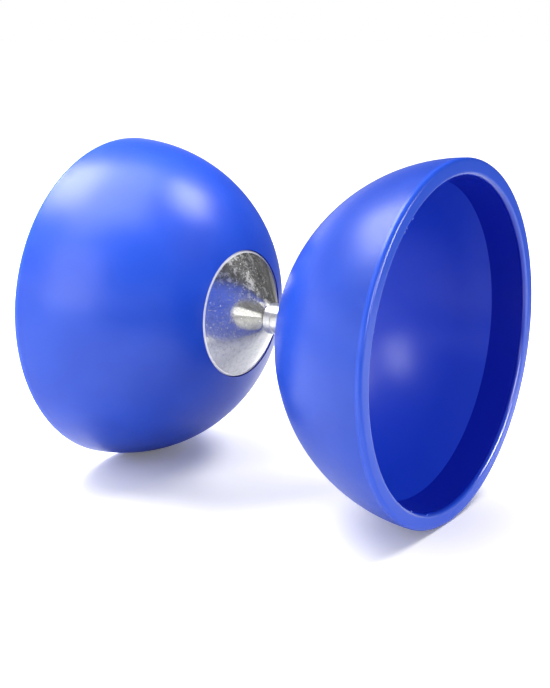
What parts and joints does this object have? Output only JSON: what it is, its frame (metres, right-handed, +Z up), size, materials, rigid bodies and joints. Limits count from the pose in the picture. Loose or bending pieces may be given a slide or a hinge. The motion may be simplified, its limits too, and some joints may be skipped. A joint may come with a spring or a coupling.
{
  "type": "diabolo (chinese yo-yo)",
  "caption": "Diabolo, or Chinese yo-yo: bowl-shaped blue cups on polished cast cone hubs, joined by a steel axle with a free-running ball-bearing string sleeve.",
  "frame": {"origin": "middle of the axle, halfway between the rims, on the spin axis", "axes": "+X along the spin axis from the left cup to the right cup, +Z up; at rest the lowest points of both rims stand on a floor below"},
  "size_m": [0.1442, 0.1248, 0.1248],
  "materials": {
    "cup_blue": "satin moulded, saturated blue",
    "cast_hub": "polished casting with fine pits",
    "shaft_steel": "bright zinc plated, threaded ends",
    "polished_sleeve": "polished, with a worn string track",
    "bearing_steel": "ground",
    "ball_steel": "polished",
    "brass": "satin",
    "shield_steel": "pressed, satin",
    "spacer_steel": "turned",
    "plate_aluminium": "turned, satin",
    "spring_steel": "zinc plated",
    "nut_steel": "zinc plated",
    "nylon": "natural white"
  },
  "bodies": {
    "spinner": {"left_cup": "cup_blue", "right_cup": "cup_blue", "left_hub": "cast_hub", "right_hub": "cast_hub", "shaft": "shaft_steel", "left_inner_ring": "bearing_steel", "middle_inner_ring": "bearing_steel", "right_inner_ring": "bearing_steel", "left_inner_spacer": "spacer_steel", "right_inner_spacer": "spacer_steel", "left_end_shim": "brass", "right_end_shim": "brass", "left_backing_plate": "plate_aluminium", "right_backing_plate": "plate_aluminium", "spring_washers": "spring_steel", "lock_nuts": "nut_steel", "nut_inserts": "nylon"},
    "sleeve": {"string_sleeve": "polished_sleeve", "left_outer_ring": "bearing_steel", "middle_outer_ring": "bearing_steel", "right_outer_ring": "bearing_steel", "left_outer_spacer": "spacer_steel", "right_outer_spacer": "spacer_steel", "left_shields": "shield_steel", "middle_shields": "shield_steel", "right_shields": "shield_steel"},
    "left_ball_set": {"left_balls": "ball_steel", "left_cage": "brass"},
    "middle_ball_set": {"middle_balls": "ball_steel", "middle_cage": "brass"},
    "right_ball_set": {"right_balls": "ball_steel", "right_cage": "brass"}
  },
  "joints": [
    {"name": "sleeve_spin", "type": "hinge", "parent": "spinner", "child": "sleeve", "pos_m": [0, 0, 0], "axis": [1, 0, 0], "continuous": true},
    {"name": "left_ball_roll", "type": "hinge", "parent": "spinner", "child": "left_ball_set", "pos_m": [-0.0062, 0, 0], "axis": [1, 0, 0], "continuous": true},
    {"name": "middle_ball_roll", "type": "hinge", "parent": "spinner", "child": "middle_ball_set", "pos_m": [0, 0, 0], "axis": [1, 0, 0], "continuous": true},
    {"name": "right_ball_roll", "type": "hinge", "parent": "spinner", "child": "right_ball_set", "pos_m": [0.0062, 0, 0], "axis": [1, 0, 0], "continuous": true}
  ],
  "couplings": [
    {"joint": "left_ball_roll", "follows": "sleeve_spin", "ratio": 0.56923},
    {"joint": "middle_ball_roll", "follows": "sleeve_spin", "ratio": 0.56923},
    {"joint": "right_ball_roll", "follows": "sleeve_spin", "ratio": 0.56923}
  ]
}
